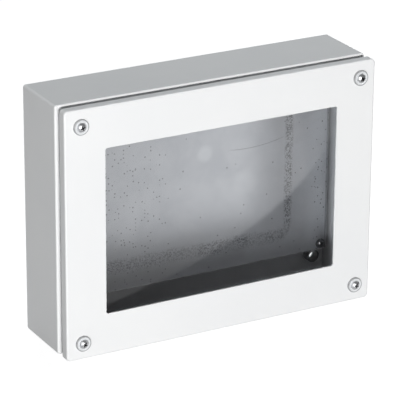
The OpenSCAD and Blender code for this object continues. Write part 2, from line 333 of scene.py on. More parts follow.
    def passed_on(self, colour: Socket, from_y: float, loss: float) -> Socket:
        """Dims what surfaces behind a plane pass on to other surfaces, not what is seen of them.

        Args:
            colour: colour of the surface.
            from_y: Y of the plane.
            loss: share of the light that is lost.

        Returns:
            The colour with the loss.
        """
        bounced = self.add("ShaderNodeLightPath").outputs["Is Diffuse Ray"]
        behind = self.sum("GREATER_THAN", self.axes()[1], from_y)
        lost = self.sum("MULTIPLY", self.sum("MULTIPLY", bounced, behind), loss)
        return self.blend(lost, colour, BLACK)

    def show(self, shader: Socket) -> bpy.types.ID:
        """Ends the graph at a shader and gives the finished material or world."""
        self.tree.links.new(shader, self.output.inputs["Surface"])
        return self.owner


@dataclass(frozen=True)
class PowderCoat:
    """Light grey powder coat with a fine orange peel."""

    name: str = "powder_coat"
    colour: Colour = (0.82, 0.82, 0.82)
    shade: Colour = (0.80, 0.802, 0.805)
    roughness: float = 0.5
    gloss_change: Span = (-0.06, 0.04)
    speck_change: Span = (-0.03, 0.03)
    specular: float = 0.4
    clouds: float = 9.0
    blotch: Span = (0.35, 0.68)
    peel: float = 700.0
    peel_depth: float = 0.00002
    peel_share: float = 0.6
    specks_to_peel: float = 3.0

    def material(self) -> Material:
        """Builds the coat's material.

        Returns:
            The material.
        """
        g = Graph(self.name)
        here = g.place()
        cloud = g.noise(here, self.clouds, detail=4.0)
        grain = g.noise(here, self.peel, detail=2.0)
        speck = g.noise(here, self.peel * self.specks_to_peel, detail=1.0)
        colour = g.blend(g.span(cloud, *self.blotch), self.colour, self.shade)
        rough = g.sum("ADD", g.uneven(grain, self.roughness, self.gloss_change),
                      g.uneven(speck, 0.0, self.speck_change))
        colour = g.passed_on(colour, INSIDE_Y, INSIDE_LOSS)
        relief = g.bump(grain, self.peel_depth, self.peel_share)
        shader = g.principled(Base_Color=colour, Roughness=rough, Specular_IOR_Level=self.specular,
                              Normal=relief)
        return g.show(shader.outputs[0])


@dataclass(frozen=True)
class ZincSheet:
    """Dull zinc-plated sheet of the mounting plate, with a mottle, specks, residue and marks, painted shade
    towards its left side and foot, and painted shade and highlight lines along its folds.
    """

    colour: Colour = (0.86, 0.87, 0.89)
    shade: Colour = (0.76, 0.775, 0.80)
    pale: Colour = (0.94, 0.95, 0.96)
    # Colour of the real stains and marks, and of the painted shade line at the folds
    stain_and_shade: Colour = (0.12, 0.12, 0.13)
    # Near-black painted shade, laid on towards the plate's left side and towards its foot
    painted_shade: Colour = (0.02, 0.02, 0.022)
    left_x: float = -0.147
    right_x: float = 0.140
    left_painted_shade: float = 0.40
    foot_low: float = 0.018
    foot_high: float = 0.060
    foot_painted_shade: float = 0.50
    metallic: float = 0.97
    roughness: float = 0.31
    rough_change: Span = (0.0, 0.08)
    grain_change: Span = (-0.01, 0.02)
    mottles: float = 26.0
    blotch: Span = (0.35, 0.68)
    grains: float = 380.0
    grain_depth: float = 0.00001
    grain_share: float = 0.5
    clouds: float = 9.0
    cloud_span: Span = (0.48, 0.72)
    cloud_share: float = 0.55
    mark_share: float = 0.8
    mark_rough: float = 0.1
    residue_x: float = 0.1044
    residue_z: float = 0.0468
    residue_corner: float = 0.008
    residue_half: float = 0.0037
    residue_edge: Span = (0.5, 1.5)
    residue_spread: float = 0.62
    residue_wander: float = 0.003
    residue_waves: float = 50.0
    residue_crumbs: float = 860.0
    crumb_span: Span = (0.45, 0.56)
    crumb_least: float = 0.12
    residue_patches: float = 32.0
    patch_span: Span = (0.36, 0.56)
    patch_least: float = 0.45
    speck_cells: float = 340.0
    speck_left: Span = (-0.085, 0.01)
    speck_right: Span = (0.126, 0.138)
    speck_most: float = 0.50
    speck_least: float = 0.03
    speck_sizes: Span = (0.17, 0.29)
    # Painted shade line and painted highlight line along the side folds, at these distances from the middle
    fold_shade_x: float = 0.1446
    fold_highlight_x: float = 0.146
    line_half: float = 0.0005
    line_fade: float = 1.6
    fold_shade_share: float = 0.45
    fold_highlight_share: float = 0.8
    smudges: tuple[tuple[float, float, float], ...] = ((0.019, 0.1375, 0.010), (0.060, 0.103, 0.016))
    smudge_share: float = 0.4
    smudge_core: float = 0.4
    scratch_middle: Span = (0.062, 0.1353)
    scratch_bow: float = 3.4
    scratch_share: float = 0.4
    scratch_core: float = 0.4
    scratch_shift: float = 0.01
    scratch_ends: Span = (0.02, 0.032)

    def residue(self, g: Graph) -> Socket:
        """Line of old residue that runs down the plate's right side and along its bottom.

        Args:
            g: graph of the material.

        Returns:
            A value output, 1 on the line.
        """
        x, _, z = g.axes()
        right = g.sum("SUBTRACT", x, self.residue_x - self.residue_corner)
        low = g.sum("SUBTRACT", self.residue_z + self.residue_corner / self.residue_spread, z)
        right_in = g.sum("MAXIMUM", right, 0.0)
        low_in = g.sum("MULTIPLY", g.sum("MAXIMUM", low, 0.0), self.residue_spread)
        reach = g.far(right_in, low_in)
        waves = g.sum("SUBTRACT", g.noise(g.place(), self.residue_waves, detail=2.0), 0.5)
        wander = g.sum("MULTIPLY", waves, self.residue_wander)
        off = g.sum("ABSOLUTE", g.sum("ADD", g.sum("SUBTRACT", reach, self.residue_corner), wander))
        inner, outer = self.residue_edge
        band = g.span(off, self.residue_half * inner, self.residue_half * outer, 1.0, 0.0)
        crumbs = g.noise(g.place(), self.residue_crumbs, detail=2.0, roughness=0.6)
        crumbs = g.span(crumbs, *self.crumb_span, self.crumb_least, 1.0)
        patch = g.noise(g.place(), self.residue_patches, detail=2.0)
        patch = g.span(patch, *self.patch_span, self.patch_least, 1.0)
        return g.sum("MULTIPLY", g.sum("MULTIPLY", band, crumbs), patch)

    def specks(self, g: Graph) -> Socket:
        """Dark specks, mostly towards the plate's left and right edges.

        Args:
            g: graph of the material.

        Returns:
            A value output, 1 on a speck.
        """
        x, _, _ = g.axes()
        cells = g.cells(g.place(), self.speck_cells)
        split = g.add("ShaderNodeSeparateColor")
        g.feed(split.inputs[0], cells.outputs["Color"])
        left = g.span(x, *self.speck_left, self.speck_most, 0.0)
        right = g.span(x, *self.speck_right, 0.0, self.speck_most)
        share = g.sum("ADD", g.sum("ADD", left, right), self.speck_least)
        chosen = g.sum("LESS_THAN", split.outputs[0], share)
        size = g.span(split.outputs[1], 0.0, 1.0, *self.speck_sizes)
        dot = g.sum("LESS_THAN", cells.outputs["Distance"], size)
        return g.sum("MULTIPLY", chosen, dot)

    def marks(self, g: Graph, colour: Socket) -> Socket:
        """Faint curved scratch and lighter smudges in the plate's upper half.

        Args:
            g: graph of the material.
            colour: colour of the sheet without them.

        Returns:
            Colour of the sheet with them.
        """
        x, _, z = g.axes()
        for middle_x, middle_z, radius in self.smudges:
            off = g.far(g.sum("SUBTRACT", x, middle_x), g.sum("SUBTRACT", z, middle_z))
            share = g.span(off, self.smudge_core * radius, radius, self.smudge_share, 0.0)
            colour = g.blend(share, colour, self.pale)
        along = g.sum("SUBTRACT", x, self.scratch_middle[0])
        bow = g.sum("MULTIPLY", g.sum("MULTIPLY", along, along), self.scratch_bow)
        off = g.sum("ABSOLUTE", g.sum("SUBTRACT", g.sum("SUBTRACT", z, self.scratch_middle[1]), bow))
        line = g.span(off, self.line_half * self.scratch_core, self.line_half, self.scratch_share, 0.0)
        reach = g.sum("ABSOLUTE", g.sum("SUBTRACT", along, self.scratch_shift))
        ends = g.span(reach, *self.scratch_ends, 1.0, 0.0)
        return g.blend(g.sum("MULTIPLY", line, ends), colour, self.stain_and_shade)

    def fold_shade_and_highlight(self, g: Graph, colour: Socket) -> Socket:
        """Painted highlight line and painted shade line along the plate's side folds.

        Args:
            g: graph of the material.
            colour: colour of the sheet without them.

        Returns:
            Colour of the sheet with them.
        """
        x, _, _ = g.axes()
        side = g.sum("ABSOLUTE", x)

        def line(middle: float) -> Socket:
            """Share of a line at a distance from the plate's middle."""
            off = g.sum("ABSOLUTE", g.sum("SUBTRACT", side, middle))
            return g.span(off, self.line_half, self.line_half * self.line_fade, 1.0, 0.0)

        # Painted shade at the start of each fold, then a painted highlight on the fold
        colour = g.blend(g.sum("MULTIPLY", line(self.fold_shade_x), self.fold_shade_share), colour, self.stain_and_shade)
        return g.blend(g.sum("MULTIPLY", line(self.fold_highlight_x), self.fold_highlight_share), colour, self.pale)

    def material(self) -> Material:
        """Builds the sheet's material.

        Returns:
            The material.
        """
        g = Graph("plate_zinc")
        here = g.place()
        mottle = g.noise(here, self.mottles, detail=5.0, roughness=0.6, distortion=0.3)
        fine = g.noise(here, self.grains)
        cloud = g.noise(here, self.clouds, roughness=0.5, distortion=0.4)
        colour = g.blend(g.span(mottle, *self.blotch), self.colour, self.shade)
        rough = g.sum("ADD", g.uneven(mottle, self.roughness, self.rough_change),
                      g.uneven(fine, 0.0, self.grain_change))
        colour = g.blend(g.span(cloud, *self.cloud_span, 0.0, self.cloud_share), colour, self.pale)
        x, _, z = g.axes()
        # Painted shade: the sheet darkens towards its left side and towards its foot
        colour = g.blend(g.span(x, self.left_x, self.right_x, self.left_painted_shade, 0.0), colour, self.painted_shade)
        colour = g.blend(g.span(z, self.foot_low, self.foot_high, self.foot_painted_shade, 0.0), colour, self.painted_shade)
        mark = g.sum("MAXIMUM", self.residue(g), self.specks(g), clamp=True)
        colour = g.blend(g.sum("MULTIPLY", mark, self.mark_share), colour, self.stain_and_shade)
        colour = self.fold_shade_and_highlight(g, self.marks(g, colour))
        colour = g.passed_on(colour, INSIDE_Y, INSIDE_LOSS)
        rough = g.sum("ADD", rough, g.sum("MULTIPLY", mark, self.mark_rough))
        relief = g.bump(fine, self.grain_depth, self.grain_share)
        shader = g.principled(Base_Color=colour, Metallic=self.metallic, Roughness=rough, Normal=relief)
        return g.show(shader.outputs[0])


@dataclass(frozen=True)
class FineFinish:
    """Finish of small pieces: two tones in clouds, with a finer grain."""

    name: str
    colour: Colour
    shade: Colour
    roughness: float
    metallic: float = 0.0
    specular: float = 0.5
    coat: float = 0.0
    rough_change: Span = (-0.05, 0.06)
    clouds: float = 220.0
    cloud_detail: float = 3.0
    blotch: Span = (0.35, 0.7)
    grains: float = 1600.0
    grain_depth: float = 0.000008
    grain_share: float = 0.4

    def material(self) -> Material:
        """Builds the finish's material.

        Returns:
            The material.
        """
        g = Graph(self.name)
        here = g.place()
        cloud = g.noise(here, self.clouds, self.cloud_detail)
        colour = g.blend(g.span(cloud, *self.blotch), self.colour, self.shade)
        rough = g.uneven(cloud, self.roughness, self.rough_change)
        relief = g.bump(g.noise(here, self.grains, detail=2.0), self.grain_depth, self.grain_share)
        shader = g.principled(Base_Color=colour, Metallic=self.metallic, Roughness=rough, Normal=relief,
                              Specular_IOR_Level=self.specular, Coat_Weight=self.coat)
        return g.show(shader.outputs[0])


@dataclass(frozen=True)
class BrightZinc(FineFinish):
    """Bright zinc plating of turned and stamped fasteners."""

    name: str = "bright_zinc"
    colour: Colour = (0.70, 0.71, 0.72)
    shade: Colour = (0.60, 0.61, 0.63)
    roughness: float = 0.36
    metallic: float = 1.0
    clouds: float = 180.0
    cloud_detail: float = 4.0
    grains: float = 1500.0


@dataclass(frozen=True)
class BlackZinc(FineFinish):
    """Glossy black plating of the plate screws."""

    name: str = "black_zinc"
    colour: Colour = (0.018, 0.018, 0.02)
    shade: Colour = (0.028, 0.028, 0.031)
    roughness: float = 0.23
    specular: float = 1.0
    coat: float = 0.8
    rough_change: Span = (-0.05, 0.1)
    clouds: float = 260.0
    blotch: Span = (0.4, 0.7)
    grains: float = 1800.0
    grain_depth: float = 0.000006


@dataclass(frozen=True)
class Nylon(FineFinish):
    """Pale grey nylon of the dished washers and keeper rings."""

    name: str = "grey_nylon"
    colour: Colour = (0.70, 0.71, 0.72)
    shade: Colour = (0.64, 0.65, 0.66)
    roughness: float = 0.42
    specular: float = 0.45


@dataclass(frozen=True)
class Foam:
    """Closed-cell black foam of the gasket and of the pane's tape."""

    colour: Colour = (0.028, 0.028, 0.029)
    shade: Colour = (0.05, 0.05, 0.052)
    cells: float = 900.0
    pore_span: Span = (0.1, 0.6)
    pore_depth: float = 0.00015
    pore_share: float = 0.7
    clouds: float = 300.0
    roughness: Span = (0.82, 0.95)
    specular: float = 0.25

    def material(self) -> Material:
        """Builds the foam's material.

        Returns:
            The material.
        """
        g = Graph("black_foam")
        here = g.place()
        pores = g.cells(here, self.cells).outputs["Distance"]
        colour = g.blend(g.span(pores, *self.pore_span), self.colour, self.shade)
        rough = g.span(g.noise(here, self.clouds), *NOISE_SPAN, *self.roughness)
        relief = g.bump(pores, self.pore_depth, self.pore_share)
        shader = g.principled(Base_Color=colour, Roughness=rough, Specular_IOR_Level=self.specular,
                              Normal=relief)
        return g.show(shader.outputs[0])


@dataclass(frozen=True)
class ClearPane:
    """Clear pane that lets lamps through, with a faint unevenness in its gloss."""

    tint: Colour = (0.97, 0.975, 0.985)
    index: float = 1.52
    roughness: Span = (0.01, 0.03)
    waves: float = 14.0
    blotch: Span = (0.35, 0.7)

    def material(self) -> Material:
        """Builds the pane's material.

        Returns:
            The material.
        """
        g = Graph("clear_pane")
        rough = g.span(g.noise(g.place(), self.waves), *self.blotch, *self.roughness)
        glass = g.principled(Base_Color=self.tint, Roughness=rough, IOR=self.index, Transmission_Weight=1.0)
        clear = g.add("ShaderNodeBsdfTransparent")
        clear.inputs[0].default_value = (*self.tint, 1.0)
        path = g.add("ShaderNodeLightPath")
        soft = g.sum("MAXIMUM", path.outputs["Is Shadow Ray"], path.outputs["Is Diffuse Ray"])
        inside = g.sum("GREATER_THAN", path.outputs["Transmission Depth"], INSIDE_DEPTH)
        mirrored = g.sum("MULTIPLY", path.outputs["Is Reflection Ray"], inside)
        return g.show(g.mix(g.sum("MAXIMUM", soft, mirrored), glass.outputs[0], clear.outputs[0]))


@dataclass(frozen=True)
class Finishes:
    """One material for each finish of the box, and darker copies of some that paint shade."""

    coat: Material
    plate: Material
    sleeve: Material
    bright: Material
    black: Material
    foam: Material
    nylon: Material
    rim: Material
    recess: Material
    clear: Material

    @classmethod
    def make(cls) -> "Finishes":
        """Builds all the materials.

        Returns:
            The finishes.
        """
        # Dark grey coat on the wall sleeves: painted shade
        sleeve = PowderCoat("sleeve_painted_shade", colour=(0.20, 0.20, 0.205), shade=(0.17, 0.17, 0.175))
        # Darker nylon on the washers' rims and sides: painted shade
        rim = Nylon("nylon_rim_painted_shade", colour=(0.36, 0.365, 0.37), shade=(0.30, 0.305, 0.31))
        # Near-black zinc in the lid screws' cross recesses: painted shade
        recess = BrightZinc("recess_painted_shade", colour=(0.10, 0.10, 0.105), shade=(0.06, 0.06, 0.065))
        return cls(coat=PowderCoat().material(), plate=ZincSheet().material(), sleeve=sleeve.material(),
                   bright=BrightZinc().material(), black=BlackZinc().material(), foam=Foam().material(),
                   nylon=Nylon().material(), clear=ClearPane().material(), rim=rim.material(),
                   recess=recess.material())


def dress(node: str, material: Material) -> None:
    """Gives a construction node its finish.

    Args:
        node: name of the node.
        material: finish that fills all its slots.
    """
    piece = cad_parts[node]
    piece.data.materials.clear()
    piece.data.materials.append(material)
    LOG.info("%s: %s", node, material.name)


@dataclass(frozen=True)
class Thread:
    """Metric thread by its radii and pitch, with its flanks and flats as shares of the pitch."""

    crest: float
    root: float
    pitch: float
    sides: int = 32
    flank: float = 0.375
    flat: float = 0.125
    spare_turns: int = 2


class Bench:
    """Workbench where the small turned pieces are modelled upright on the Z axis."""

    # Share of a recess's depth that its punch stands out, and its width at the bottom as a share
    PUNCH_SPARE = 0.3
    PUNCH_TAPER = 0.55
    # A face is upright where its normal rises less than this
    LEVEL = 0.5

    @staticmethod
    def begin(name: str) -> Piece:
        """Names the primitive that was just added and opens it in edit mode with all selected.

        Args:
            name: name of the piece.

        Returns:
            The piece.
        """
        piece = bpy.context.object
        piece.name = name
        bpy.ops.object.transform_apply(location=True, rotation=True, scale=True)
        bpy.ops.object.mode_set(mode="EDIT")
        bpy.ops.mesh.select_mode(type="VERT")
        bpy.ops.mesh.select_all(action="SELECT")
        return piece

    @staticmethod
    def pick(piece: Piece, test: Callable[[bpy.types.MeshPolygon], bool]) -> None:
        """Selects the faces that pass a test, in edit mode.

        Args:
            piece: piece that is open in edit mode.
            test: says whether a face is selected.
        """
        bpy.ops.mesh.select_mode(type="FACE")
        bpy.ops.mesh.select_all(action="DESELECT")
        bpy.ops.object.mode_set(mode="OBJECT")
        for face in piece.data.polygons:
            face.select = test(face)
        bpy.ops.object.mode_set(mode="EDIT")

    @staticmethod
    def close() -> None:
        """Welds the mesh, points its faces outwards and leaves edit mode."""
        bpy.ops.mesh.select_all(action="SELECT")
        bpy.ops.mesh.remove_doubles(threshold=WELD)
        bpy.ops.mesh.normals_make_consistent(inside=False)
        bpy.ops.object.mode_set(mode="OBJECT")

    @classmethod
    def turned(cls, name: str, profile: Profile, sides: int = 48, hollow: bool = False) -> Piece:
        """Turns a piece by extruding a disc or a hoop along its profile.

        Args:
            name: name of the piece.
            profile: radius and height of each step, from the bottom up, or round the section of a ring.
            sides: number of sides of the circle.
            hollow: a ring, whose section closes on itself.

        Returns:
            The piece.
        """
        radius, height = profile[0]
        bpy.ops.mesh.primitive_circle_add(vertices=sides, radius=radius, location=(0.0, 0.0, height),
                                          fill_type="NOTHING" if hollow else "NGON")
        piece = cls.begin(name)
        steps = [*profile[1:], profile[0]] if hollow else profile[1:]
        for wide, high in steps:
            bpy.ops.mesh.extrude_region_move(TRANSFORM_OT_translate={"value": (0.0, 0.0, high - height)})
            grow = wide / radius
            bpy.ops.transform.resize(value=(grow, grow, 1.0), center_override=(0.0, 0.0, 0.0))
            radius, height = wide, high
        cls.close()
        return piece

    @classmethod
    def threaded(cls, name: str, thread: Thread, low: float, high: float) -> Piece:
        """Winds one pitch of a thread's section round the axis and cuts it square at both ends.

        Args:
            name: name of the piece.
            thread: sizes of the thread.
            low: height of the lower end.
            high: height of the upper end.

        Returns:
            The piece.
        """
        rise = (thread.flank, thread.flat, thread.flank, thread.flat)
        reach = (thread.crest - thread.root, 0.0, thread.root - thread.crest, 0.0)
        spare = thread.spare_turns
        bpy.ops.mesh.primitive_plane_add(size=thread.pitch, location=(0.0, 0.0, 0.0))
        piece = cls.begin(name)
        bpy.ops.mesh.merge(type="CENTER")
        bpy.ops.transform.translate(value=(thread.root, 0.0, low - spare * thread.pitch))
        for out, up in zip(reach, rise):
            bpy.ops.mesh.extrude_region_move(TRANSFORM_OT_translate={"value": (out, 0.0, up * thread.pitch)})
        bpy.ops.object.mode_set(mode="OBJECT")
        winding = piece.modifiers.new("winding", "SCREW")
        winding.screw_offset = thread.pitch
        winding.iterations = math.ceil((high - low) / thread.pitch) + 2 * spare
        winding.steps = thread.sides
        winding.render_steps = thread.sides
        bpy.ops.object.modifier_apply(modifier=winding.name)
        bpy.ops.object.mode_set(mode="EDIT")
        bpy.ops.mesh.select_all(action="SELECT")
        bpy.ops.mesh.remove_doubles(threshold=WELD)
        for height, way in ((low, -1.0), (high, 1.0)):
            bpy.ops.mesh.select_all(action="SELECT")
            bpy.ops.mesh.bisect(plane_co=(0.0, 0.0, height), plane_no=(0.0, 0.0, way), use_fill=True,
                                clear_outer=True, threshold=CUT)
        cls.close()
        return piece

    @classmethod
    def cross(cls, span: float, slot: float, depth: float, top: float) -> Piece:
        """Models the punch of a cross recess, which narrows towards its bottom.

        Args:
            span: length of the cross.
            slot: width of its arms.
            depth: depth of the recess.
            top: height of the recess's mouth.

        Returns:
            The punch.
        """
        spare = cls.PUNCH_SPARE * depth
        bpy.ops.mesh.primitive_cube_add(size=1.0, location=(0.0, 0.0, top + (spare - depth) / 2),
                                        scale=(slot, slot, depth + spare))
        punch = cls.begin("punch")
        cls.pick(punch, lambda face: abs(face.normal.z) < cls.LEVEL)
        bpy.ops.mesh.extrude_faces_move(TRANSFORM_OT_shrink_fatten={"value": (span - slot) / 2})
        cls.pick(punch, lambda face: face.normal.z < -cls.LEVEL)
        taper = cls.PUNCH_TAPER
        bpy.ops.transform.resize(value=(taper, taper, 1.0), center_override=(0.0, 0.0, 0.0))
        cls.close()
        return punch

    @classmethod
    def combine(cls, piece: Piece, tool: Piece, way: Combining) -> None:
        """Unites a piece with a tool or cuts the tool out of it.

        Args:
            piece: piece that is kept.
            tool: piece that is used up.
            way: what the tool does.
        """
        bpy.ops.object.select_all(action="DESELECT")
        piece.select_set(True)
        bpy.context.view_layer.objects.active = piece
        step = piece.modifiers.new("combine", "BOOLEAN")
        step.operation = way.value
        step.solver = "EXACT"
        step.object = tool
        bpy.ops.object.modifier_apply(modifier=step.name)
        cls.discard(tool)

    @staticmethod
    def join(name: str, pieces: Sequence[Piece]) -> Piece:
        """Joins copies of a fastener to one group.

        Args:
            name: name of the group.
            pieces: the copies.

        Returns:
            The group.
        """
        bpy.ops.object.select_all(action="DESELECT")
        for piece in pieces:
            piece.select_set(True)
        bpy.context.view_layer.objects.active = pieces[0]
        bpy.ops.object.join()
        pieces[0].name = name
        return pieces[0]

    @staticmethod
    def copy(piece: Piece, name: str, facing: Facing, place: Vector,
             spin: float = 0.0) -> Piece:
        """Copies a piece with its own mesh and sets the copy in its place.

        Args:
            piece: upright piece at the origin.
            name: name of the copy.
            facing: where the copy points.
            place: where the piece's origin goes.
            spin: turn of the copy about its own axis in degrees.

        Returns:
            The copy.
        """
        twin = piece.copy()
        twin.data = piece.data.copy()
        twin.name = name
        bpy.context.scene.collection.objects.link(twin)
        about = Matrix.Rotation(math.radians(spin), 4, "Z")
        twin.data.transform(Matrix.Translation(place) @ facing.turn @ about)
        return twin

    @staticmethod
    def discard(piece: Piece) -> None:
        """Removes a pattern piece or a tool and its mesh.

        Args:
            piece: the piece.
        """
        mesh = piece.data
        bpy.data.objects.remove(piece)
        bpy.data.meshes.remove(mesh)


def hand_in(piece: Piece, node: str, body: str, slot: str,
            *materials: Material) -> None:
    """Dresses a modelled piece, which stands for a construction node and moves with its body.

    Args:
        piece: the piece.
        node: construction node that it replaces.
        body: body that it rides on.
        slot: slot of the record that its finish belongs to; not used.
        *materials: finishes of the piece's faces by their index.
    """
    for material in materials:
        piece.data.materials.append(material)
    bpy.ops.object.select_all(action="DESELECT")
    piece.select_set(True)
    bpy.context.view_layer.objects.active = piece
    bpy.ops.object.shade_smooth_by_angle(angle=SMOOTH_ANGLE)
    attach(piece, body)
    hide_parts(node)
    LOG.info("%s: %d faces", piece.name, len(piece.data.polygons))


@dataclass
class DomedScrew:
    """Domed screw with a cross recess, a neck and a thread, modelled with its head's seat at height 0."""

    head_r: float
    head_h: float
    edge: float
    recess: tuple[float, float, float]
    neck_r: float
    neck_end: float
    tip: float
    thread: Thread
    crown_share: float = 0.65
    rings: int = 9
    soft_share: float = 0.15
    point_share: float = 0.45
    start_share: float = 1.2
    mouth_share: float = 0.25

    def head_profile(self) -> list[tuple[float, float]]:
        """Works out the head's section.

        Returns:
            Radius and height of its steps from the seat to the crown.
        """
        span, slot, _ = self.recess
        crown_r = span * self.crown_share / 2 + slot / 4
        rise = self.head_h - self.edge
        drop = (self.head_r ** 2 - crown_r ** 2 + self.edge ** 2 - self.head_h ** 2) / (2 * rise)
        dome_r = math.hypot(crown_r, self.head_h + drop)
        first = math.asin(min(1.0, self.head_r / dome_r))
        last = math.asin(crown_r / dome_r)
        soft = self.soft_share * self.edge
        steps = [(self.head_r - soft, 0.0), (self.head_r, soft)]
        for i in range(self.rings + 1):
            angle = first + (last - first) * i / self.rings
            steps.append((dome_r * math.sin(angle), dome_r * math.cos(angle) - drop))
        return steps

    def model(self) -> Piece:
        """Models the screw.

        Returns:
            The screw, whose recess takes the second finish.
        """
        point = self.point_share * self.thread.pitch
        shaft = [(self.neck_r - point, self.tip), (self.neck_r, self.tip + point), (self.neck_r, 0.0)]
        screw = Bench.turned("screw_pattern", [*shaft, *self.head_profile()])
        start = self.tip + self.start_share * point
        winding = Bench.threaded("thread_pattern", self.thread, start, self.neck_end)
        Bench.combine(screw, winding, Combining.UNITE)
        span, slot, depth = self.recess
        Bench.combine(screw, Bench.cross(span, slot, depth, self.head_h), Combining.CUT_OUT)
        mouth = self.head_h - self.mouth_share * depth
        for face in screw.data.polygons:
            inner = math.hypot(face.center.x, face.center.y) < span / 2
            face.material_index = int(inner and 0.0 < face.center.z < mouth)
        return screw


@dataclass
class Case:
    """Folded case with its brackets, sleeves, plate and earth point."""

    finishes: Finishes
    plate_head_r: float = 0.0046
    plate_head_h: float = 0.0034
    plate_head_edge: float = 0.001
    plate_recess: tuple[float, float, float] = (0.005, 0.0014, 0.002)
    plate_screw_r: float = 0.0021
    plate_thread: Thread = Thread(0.0025, 0.00215, 0.0008)
    plate_turn: float = 45.0
    earth_thread: Thread = Thread(0.003, 0.00252, 0.001)

    def plate_screws(self) -> None:
        """Models the plate's four black screws."""
        low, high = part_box("plate_screws")
        seat = low[1] + self.plate_head_h
        pattern = DomedScrew(self.plate_head_r, self.plate_head_h, self.plate_head_edge, self.plate_recess,
                             self.plate_screw_r, 0.0, seat - high[1], self.plate_thread).model()
        copies = []
        for corner in Corner:
            side, end = corner.value
            x = (high[0] if side > 0 else low[0]) - side * self.plate_head_r
            z = (high[2] if end > 0 else low[2]) - end * self.plate_head_r
            copies.append(Bench.copy(pattern, "copy", Facing.FRONT, Vector((x, seat, z)), self.plate_turn))
        Bench.discard(pattern)
        group = Bench.join("black_plate_screws", copies)
        hand_in(group, "plate_screws", "case", "black_fastener", self.finishes.black, self.finishes.black)

    def earth_stud(self) -> None:
        """Models the thread of the earth stud."""
        low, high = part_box("earth_stud")
        pattern = Bench.threaded("thread_pattern", self.earth_thread, 0.0, high[0] - low[0])
        place = Vector((low[0], (low[1] + high[1]) / 2, (low[2] + high[2]) / 2))
        stud = Bench.copy(pattern, "earth_stud_threaded", Facing.RIGHT, place)
        Bench.discard(pattern)
        hand_in(stud, "earth_stud", "case", "zinc_fastener", self.finishes.bright)

    def build(self) -> None:
        """Dresses the case's pieces and models its fasteners."""
        f = self.finishes
        dress("enclosure_body", f.coat)
        dress("corner_brackets", f.coat)
        # The sleeves take a dark grey coat as painted shade
        dress("wall_sleeves", f.sleeve)
        dress("mounting_plate", f.plate)
        for node in ("lid_bushes", "plate_spacers", "earth_washer", "earth_lock_washer", "earth_nut"):
            dress(node, f.bright)
        self.plate_screws()
        self.earth_stud()


@dataclass
class Lid:
    """Pan lid with its glazing and gasket."""

    finishes: Finishes
    window: Span = (0.225, 0.150)
    stud_reach: float = 0.016
    stud_pitch: float = 0.095
    stud_thread: Thread = Thread(0.002, 0.00166, 0.0007)

    def along(self, length: float) -> list[float]:
        """Even places of the studs along one side of the window, from the side's middle."""
        count = max(2, round(length / self.stud_pitch))
        return [length * ((i + 0.5) / count - 0.5) for i in range(count)]

    def stud_places(self) -> list[tuple[float, float]]:
        """Places the studs round the window.

        Returns:
            X and Z of each stud from the window's middle.
        """
        wide, tall = self.window
        places = [(x, side * (tall / 2 + self.stud_reach)) for x in self.along(wide) for side in (-1, 1)]
        places += [(side * (wide / 2 + self.stud_reach), z) for z in self.along(tall) for side in (-1, 1)]
        return places

    def pane_studs(self) -> None:
        """Models the threads of the studs that hold the pane's frame."""
        low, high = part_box("pane_studs")
        middle = (high[2] + low[2]) / 2
        pattern = Bench.threaded("thread_pattern", self.stud_thread, 0.0, high[1] - low[1])
        copies = [Bench.copy(pattern, "copy", Facing.BACK, Vector((x, low[1], middle + z)))
                  for x, z in self.stud_places()]
        Bench.discard(pattern)
        group = Bench.join("pane_studs_threaded", copies)
        hand_in(group, "pane_studs", "lid", "zinc_fastener", self.finishes.bright)

    def build(self) -> None:
        """Dresses the lid's pieces and models its studs."""
        f = self.finishes
        dress("lid_panel", f.coat)
        dress("window_pane", f.clear)
        dress("pane_frame", f.coat)
        for node in ("pane_seal", "lid_gasket"):
            dress(node, f.foam)
        dress("pane_nuts", f.bright)
        self.pane_studs()


